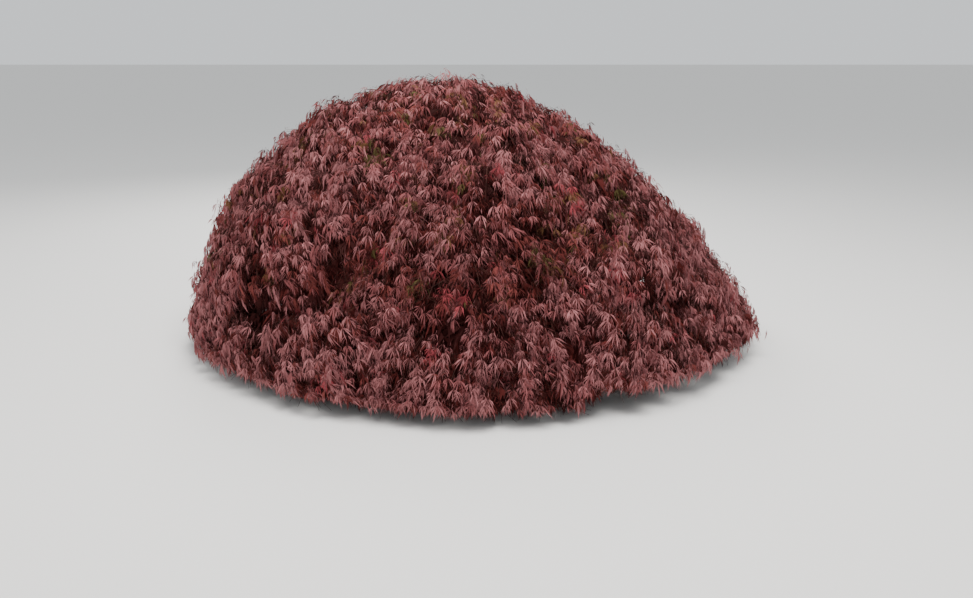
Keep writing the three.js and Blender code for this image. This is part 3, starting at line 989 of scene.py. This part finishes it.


# %% [markdown]
# ## The sprays
# Twiglets leave each strand to the left and right in turn, and each ends in a spray of leaves.
# The leaves of a spray stand in pairs along the twiglet's last part, as a maple's do, and hang
# down the slope with their upper sides to the light. The back ones of them sit a little deeper
# and are painted darker, as painted shade. Larger leaves, painted darker still as painted shade,
# fill the shade under the cascades and keep the crown from being seen through.

# %% Lay out the sprays
def in_space(points, own, slack):
    return (wall_distance(points, own) >= -slack) & (points[:, 2] >= own["hem"])


def over_hem(points, own):
    points[..., 2] = np.maximum(points[..., 2], own["hem"] + TWIG_OVER_HEM)
    return points


def kept(sprays, keep):
    return {name: values[keep] for name, values in sprays.items()}


def outer_sprays(own, cascades):
    count = len(cascades["middles"])
    which = np.repeat(np.arange(count), SPRAYS)
    order = np.tile(np.arange(SPRAYS), count)
    along = (order + chance.uniform(*SPRAY_JITTER, which.size)) / SPRAYS
    side = np.where((order + which) % 2 == 0, 1.0, -1.0)
    share = np.clip(along * (1 - HEAD_START) + HEAD_START, 0, 1)
    bulge = NARROW_ENDS + (1 - NARROW_ENDS) * np.sin(np.pi * share)
    aside = side * bulge * np.sqrt(chance.uniform(0.0, 1, which.size))
    ends = on_cascade(own, cascades, which, along, aside)
    back = np.clip(along - TWIGLET_BACK, 0, 1)
    starts = on_cascade(own, cascades, which, back, aside * TWIGLET_ROOT, STRAND_UNDER_LEAVES)
    starts = over_hem(starts, own)
    sprays = dict(ends=ends, starts=starts, along=along, aside=aside, cascade=which)
    return kept(sprays, in_space(ends, own, SPRAY_OVER_WALL))


def inner_sprays(own, strands):
    points = spiral(own, INNER_SPACING, INNER_OVER_WALL)
    points = points + INNER_STRAY * chance.normal(size=points.shape)
    depth = INNER_DEPTH + INNER_STRAY * chance.normal(size=len(points))
    ends = sink(points, own, depth + RECESS_DEPTH * recess(points))
    wood = strands.reshape(-1, 3)
    away = np.linalg.norm(ends[:, None] - wood[None], axis=2)
    starts = wood[np.argmin(away, axis=1)]
    nothing = np.zeros(len(points))
    sprays = dict(ends=ends, starts=starts, along=nothing, aside=nothing)
    return kept(sprays, in_space(ends, own, INNER_OVER_WALL))


# %% Hang the leaves of the sprays
FIRST_LEAF = 0.3
SPLAY = (0.1, 0.6)
SIDE_SPLAY = 0.6
LIFTS = (-0.1, 0.35)
END_FALL = 0.5
WEEP = (0, 0, -0.95)
WAY_STRAY = 0.30
FACE_DOWN_SLOPE = 0.8
FACE_ASIDE = 0.9
FACE_UP = (0, 0, 0.35)
FACE_STRAY = 0.30
LEAF_STRETCH = (0.65, 1.25)
HAIR = 1e-6


def hang_leaves(own, sprays, leaves, size, under):
    level, hang, outward = slope_ways(sprays["ends"], own)
    spray = np.repeat(np.arange(len(hang)), leaves)
    rank = np.tile(np.arange(leaves), len(hang))
    pair = np.where(rank % 2 == 0, 1.0, -1.0)
    share = np.clip(1 - ((rank + 1) // 2) / leaves, FIRST_LEAF, 1)[:, None]
    twiglet = sprays["ends"] - sprays["starts"]
    length = np.linalg.norm(twiglet, axis=1)
    leafy = twiglet * (np.minimum(length, LEAFY_LENGTH) / np.maximum(length, HAIR))[:, None]
    base = sprays["ends"][spray] - (1 - share) * leafy[spray]
    base = base + chance.uniform(-LEAF_STRAY, LEAF_STRAY, base.shape)
    splay = np.where(rank == 0, 0.0, pair * chance.uniform(*SPLAY, rank.size))
    over_crest = (sprays["along"] - CASCADE_CREST)[spray, None] / (1 - CASCADE_CREST)
    aside = sprays["aside"][spray, None]
    way = (
        hang[spray]
        + (splay[:, None] + SIDE_SPLAY * aside) * level[spray]
        + (chance.uniform(*LIFTS, (rank.size, 1)) - END_FALL * over_crest) * outward[spray]
        + WEEP
        + WAY_STRAY * chance.normal(size=base.shape)
    )
    way = unit(way)
    face = outward[spray] + FACE_DOWN_SLOPE * over_crest * hang[spray]
    face = face + FACE_ASIDE * aside * level[spray]
    face = face + FACE_UP + FACE_STRAY * chance.normal(size=base.shape)
    face = unit(face - way * (face * way).sum(1)[:, None])
    scale = size * chance.uniform(*LEAF_STRETCH, rank.size)
    # The back leaves of a spray sit deeper and later get a darker tone, as painted shade.
    sunk_shaded = rank >= leaves - SUNK_SHADED_LEAVES
    base = base + way * (STALK_LENGTH * scale)[:, None]
    base = base - SUNK_SHADED_DEPTH * sunk_shaded[:, None] * outward[spray]
    tips = base + way * scale[:, None]
    over = np.maximum(dome_scale(tips) - (reach_at(tips, own) - under), 0)
    back_in = unit(tips) * (over / dome_scale(tips) * np.linalg.norm(tips, axis=1))[:, None]
    base = base - back_in
    tips = tips - back_in - (0, 0, TIP_DROOP)
    lift = np.clip(own["hem"] - tips[:, 2], 0, HEM_LIFT) + HAIR
    base[:, 2] += lift
    tips[:, 2] += lift
    inside = in_space(tips, own, OVER_WALL)
    hung = dict(base=base, way=way, face=face, size=scale, spray=spray, sunk_shaded=sunk_shaded)
    return kept(hung, inside)


# %% [markdown]
# ## The leaves' colours
# A red laceleaf isn't one red: most leaves are wine or maroon. Light and shade are also painted
# into the tones: leaves on the cascades' crests and the crown's sides are painted lighter, up to
# dusty rose, as painted light, and the cascades' ends and sides, the dip across the front, the
# sunk back leaves of each spray and the inner leaves are painted darker, down to nearly black, as
# painted shade. Here and there a spray has turned bronze or olive, and a few are bright. Each
# spray gets a tone from its cascade and its place, and each of its leaves takes the plain colour
# next to that tone, the sunk back ones a darker one.

# %% Mix the leaves' colours
LEAF_COLOURS = [
    ("leaf_darkest", linear(42, 10, 9)),
    ("leaf_maroon", linear(80, 32, 30)),
    ("leaf_wine", linear(104, 50, 47)),
    ("leaf_dusty", linear(128, 73, 74)),
    ("leaf_rose", linear(147, 94, 95)),
    ("leaf_bright", linear(138, 60, 65)),
    ("leaf_bronze", linear(100, 69, 46)),
    ("leaf_olive", linear(76, 66, 38)),
]
TONES = 5
BRIGHT, BRONZE, OLIVE = 5, 6, 7
LEAF_ROUGHNESS = 0.7
LEAF_SHEEN = 0.08
TWIG_SHEEN = 0.1


def leaf_finish(name, colour):
    finish, shader = new_finish(name, LEAF_ROUGHNESS)
    shader.inputs["Base Color"].default_value = colour
    shader.inputs["Specular IOR Level"].default_value = LEAF_SHEEN
    return finish


leaf_finishes = [leaf_finish(name, colour) for name, colour in LEAF_COLOURS]

# %% Deal the colours out by spray
PATCH_SIZE = 0.38
LOW_HEIGHTS = (0.35, 0.65)
TOP_HEIGHTS = (0.95, 1.35)
# Painted light at the crown's sides with painted shade towards its middle, and painted shade in the
# dip across the front.
SIDES_FROM = 0.35
SIDES_PAINTED_LIGHT = 0.6
LOW_ROSIER = 0.7
TOP_DARKER = 0.3
RECESS_PAINTED_SHADE = 1.6
# The inner shade leaves are dealt only the darkest tones, as painted shade.
SHADE_TONE = 0.15
SHADE_TONE_STRAY = 0.45
SHADE_TONES = 3
OUTER_TONE = 3.25
CASCADE_TONE_STRAY = 0.25
SPRAY_TONE_STRAY = 0.5
PATCH_TONE = 0.9
# Painted light on each cascade's crest, and painted shade towards its ends and sides.
CREST_PAINTED_LIGHT = 0.7
ENDS_PAINTED_SHADE = 1.1
SIDES_PAINTED_SHADE = 0.8
HOLLOW_FROM = 0.55
DULL_UNDER = 0.1
BRIGHT_UNDER = 0.018
BRONZE_OVER = 0.84
OLIVE_OVER = 0.94


def patches(points):
    """Slow changes of tone over the crown: painted light at the sides and painted shade towards the
    middle, rosier low down, and painted shade in the dip.
    """
    slow = np.array([noise.noise(Vector(p) / PATCH_SIZE) for p in points])
    sides = np.abs(points[:, 0]) / CROWN_HALF_WIDTH - SIDES_FROM
    low = 1 - smooth(points[:, 2], *LOW_HEIGHTS)
    top = smooth(points[:, 2], *TOP_HEIGHTS)
    # The sides term is painted light, with painted shade towards the middle; the recess term is
    # painted shade.
    rosier = slow + SIDES_PAINTED_LIGHT * sides + LOW_ROSIER * low
    return rosier - TOP_DARKER * top - RECESS_PAINTED_SHADE * recess(points)


def deal_colours(sprays, leaves, shade):
    count = len(sprays["ends"])
    # Inner shade leaves: only the darkest tones, as painted shade.
    if shade:
        tone = SHADE_TONE + SHADE_TONE_STRAY * chance.normal(size=count)
        return np.clip(np.round(tone), 0, SHADE_TONES - 1).astype(int)[leaves["spray"]]
    cascade_tone = chance.normal(0, CASCADE_TONE_STRAY, sprays["cascade"].max() + 1)
    patch = patches(sprays["ends"])
    # Painted light on the crest of the cascade, painted shade towards its ends and sides.
    down = (sprays["along"] - CASCADE_CREST) / (1 - CASCADE_CREST)
    crest = CREST_PAINTED_LIGHT - ENDS_PAINTED_SHADE * down**2 - SIDES_PAINTED_SHADE * sprays["aside"] ** 2
    tone = OUTER_TONE + cascade_tone[sprays["cascade"]]
    tone = tone + SPRAY_TONE_STRAY * chance.normal(size=count) + crest
    tone = tone + PATCH_TONE * patch
    odd = chance.uniform(size=count)
    hollow = np.abs(sprays["aside"]) > HOLLOW_FROM
    of_spray = leaves["spray"]
    # The sunk back leaves take a darker tone, as painted shade, plus a little random stray.
    sunk_shade_and_stray = SUNK_PAINTED_SHADE * leaves["sunk_shaded"] + LEAF_TONE * chance.normal(size=len(of_spray))
    colour = np.clip(np.round(tone[of_spray] - sunk_shade_and_stray), 0, TONES - 1)
    odd = odd[of_spray]
    brown = (hollow & (patch < DULL_UNDER))[of_spray]
    colour = np.where(odd < BRIGHT_UNDER, BRIGHT, colour)
    colour = np.where((odd > BRONZE_OVER) & brown, BRONZE, colour)
    colour = np.where((odd > OLIVE_OVER) & brown, OLIVE, colour)
    return colour.astype(int)


# %% [markdown]
# ## Join the leaves
# The crown has about a hundred thousand leaves, so the copies of the modelled ones are joined
# into one piece for each mass. Every copy is turned to its own directions, and
# the seven degrees of droop are dealt out by chance. A lobe that would touch the floor is
# lifted clear of it.

# %% Join copies of the leaf into one piece
def joined_leaves(name, groups):
    verts, faces, colours = [], [], []
    start = 0
    for leaves, colour, kinds in groups:
        side = np.cross(leaves["way"], leaves["face"])
        kind_of = chance.integers(0, len(kinds), len(leaves["size"]))
        for kind, (shape, triangles) in enumerate(kinds):
            own = kind_of == kind
            size = leaves["size"][own][:, None, None]
            turned_to = np.stack([side[own], leaves["way"][own], leaves["face"][own]], 1)
            placed = leaves["base"][own][:, None, :] + size * (shape @ turned_to)
            placed[..., 2] = np.maximum(placed[..., 2], LOWEST_LEAF)
            verts.append(placed.reshape(-1, 3))
            firsts = start + len(shape) * np.arange(int(own.sum()))
            faces.append((firsts[:, None, None] + triangles[None]).reshape(-1, 3))
            colours.append(np.repeat(colour[own], len(triangles)))
            start += len(verts[-1])
    return mesh_from(name, np.concatenate(verts), np.concatenate(faces), np.concatenate(colours))


def mesh_from(name, verts, faces, colours):
    mesh = bpy.data.meshes.new(name)
    mesh.vertices.add(len(verts))
    mesh.vertices.foreach_set("co", verts.astype(np.float32).ravel())
    mesh.loops.add(faces.size)
    mesh.loops.foreach_set("vertex_index", faces.astype(np.int32).ravel())
    mesh.polygons.add(len(faces))
    mesh.polygons.foreach_set("loop_start", np.arange(0, faces.size, 3, dtype=np.int32))
    mesh.polygons.foreach_set("material_index", colours.astype(np.int32))
    mesh.update(calc_edges=True)
    return mesh


# %% [markdown]
# ## The twigs
# Young maple twigs are smooth and dark red-brown. The wood goes on from each bough: a stem
# runs to the middle of its mass, six twigs leave it as in the solids, each cascade's strand
# leaves the nearest of these, and twiglets carry the sprays. All are thin prisms with three
# sides that taper to their tips, joined into one piece.

# %% Join tapering prisms along many short lines
PRISM_SLANT = (0.37, 0.21, 0.90)
STEM_START = 0.03
STEM_STEPS = 4
TWIG_POINTS = 7
STEM_TIP = 0.007
TWIG_TIP = 0.004
STRAND_RADII = (0.0030, 0.0014)
TWIGLET_RADII = (0.0012, 0.0008)


def prisms(lines, first, last, capped=True):
    """Three-sided tapering prisms along lines, which all have the same number of points."""
    lines = np.asarray(lines)
    count, points, _ = lines.shape
    ways = unit(np.gradient(lines, axis=1))
    across = unit(np.cross(ways, PRISM_SLANT))
    over = np.cross(ways, across)
    taper = first + (last - first) * np.linspace(0, 1, points)
    rings = [
        lines + taper[None, :, None] * (math.cos(turn) * across + math.sin(turn) * over)
        for turn in (0, math.tau / 3, 2 * math.tau / 3)
    ]
    verts = np.stack(rings, 2).reshape(-1, 3)
    faces = []
    for k in range(points - 1):
        for i in range(3):
            a, b = 3 * k + i, 3 * k + (i + 1) % 3
            faces += [(a, b, b + 3), (a, b + 3, a + 3)]
    top = 3 * (points - 1)
    if capped:
        faces += [(2, 1, 0), (top, top + 1, top + 2)]
    firsts = 3 * points * np.arange(count)
    return verts, (firsts[:, None, None] + np.array(faces)[None]).reshape(-1, 3)


def curved(starts, bends, ends, points):
    """Lines from starts to ends that are drawn towards the bends between them."""
    t = np.linspace(0, 1, points)[None, :, None]
    return (1 - t) ** 2 * starts[:, None] + 2 * t * (1 - t) * bends[:, None] + t**2 * ends[:, None]


def main_twigs(own):
    tip = own["limb"]["line"][-1]
    into = unit(tip - own["limb"]["line"][-2])
    stem = knot_curve([tip, tip + STEM_START * into, own["middle"]], STEM_STEPS)
    ends = []
    for k in range(TWIGS):
        towards = heading(own, own["phase"] + k * GOLDEN_ANGLE)
        out = math.sqrt((k + FIRST_TWIG) / TWIGS) * span_along(own, towards)
        ends.append(own["middle"] + out * towards)
    ends = sink(np.array(ends), own, TWIGS_UNDER_REACH)
    starts = np.repeat(own["middle"][None], TWIGS, 0)
    bends = at_scale((starts + ends) / 2, dome_scale(ends))
    return stem, curved(starts, bends, ends, TWIG_POINTS)


def strands_of(own, cascades, twigs):
    every = np.arange(len(cascades["middles"]))
    middle = np.zeros(len(every))
    back = [
        on_cascade(own, cascades, every, middle + share, middle, STRAND_UNDER_LEAVES)
        for share in STRAND_SHARES
    ]
    back = over_hem(np.stack(back, 1), own)
    wood = np.concatenate([twigs.reshape(-1, 3), own["middle"][None]])
    away = np.linalg.norm(back[:, :1] - wood[None], axis=2)
    return np.concatenate([wood[np.argmin(away, axis=1)][:, None], back], 1)


# %% Grow the foliage
leaf_pieces = []
twig_meshes = []
for own in masses:
    stem, twigs = main_twigs(own)
    cascades = lay_out_cascades(own)
    strands = strands_of(own, cascades, twigs)
    outer = outer_sprays(own, cascades)
    inner = inner_sprays(own, strands)
    outer_leaves = hang_leaves(own, outer, LEAVES_PER_SPRAY, LEAF_SIZE, UNDER_REACH)
    inner_leaves = hang_leaves(own, inner, INNER_LEAVES, INNER_SIZE, INNER_UNDER_REACH)
    groups = [
        (outer_leaves, deal_colours(outer, outer_leaves, False), leaf_kinds),
        (inner_leaves, deal_colours(inner, inner_leaves, True), shade_kinds),
    ]
    name = own["name"].replace("foliage", "leaves")
    mesh = joined_leaves(name, groups)
    leaf_pieces.append(dress_piece(name, mesh, leaf_finishes, "foliage", own["name"]))
    twig_meshes.append(prisms(stem[None], own["limb"]["radii"][1], STEM_TIP))
    twig_meshes.append(prisms(twigs, STEM_TIP, TWIG_TIP))
    twig_meshes.append(prisms(strands, *STRAND_RADII))
    for sprays in (outer, inner):
        lines = np.stack([sprays["starts"], sprays["ends"]], 1)
        twig_meshes.append(prisms(lines, *TWIGLET_RADII, capped=False))
faces_of = [len(piece.data.polygons) for piece in leaf_pieces]
print("Leaf faces:", sum(faces_of), "and in the largest piece:", max(faces_of))

# %% Bark of the young twigs
twig_bark, twig_shader = mottled_finish(
    "young_bark",
    roughness=0.8,
    clouds=(30.0, 3.0),
    stops=[(0.35, linear(40, 21, 18)), (0.65, linear(66, 37, 32))],
)
twig_shader.inputs["Specular IOR Level"].default_value = TWIG_SHEEN

# %% Join the twigs
def join_twigs(name, meshes):
    start = 0
    verts, faces = [], []
    for some_verts, some_faces in meshes:
        verts.append(some_verts)
        faces.append(some_faces + start)
        start += len(some_verts)
    faces = np.concatenate(faces)
    mesh = mesh_from(name, np.concatenate(verts), faces, np.zeros(len(faces), int))
    return dress_piece(name, mesh, [twig_bark], "bark")


twigs = join_twigs("twigs", twig_meshes)
print("Twig faces:", len(twigs.data.polygons))
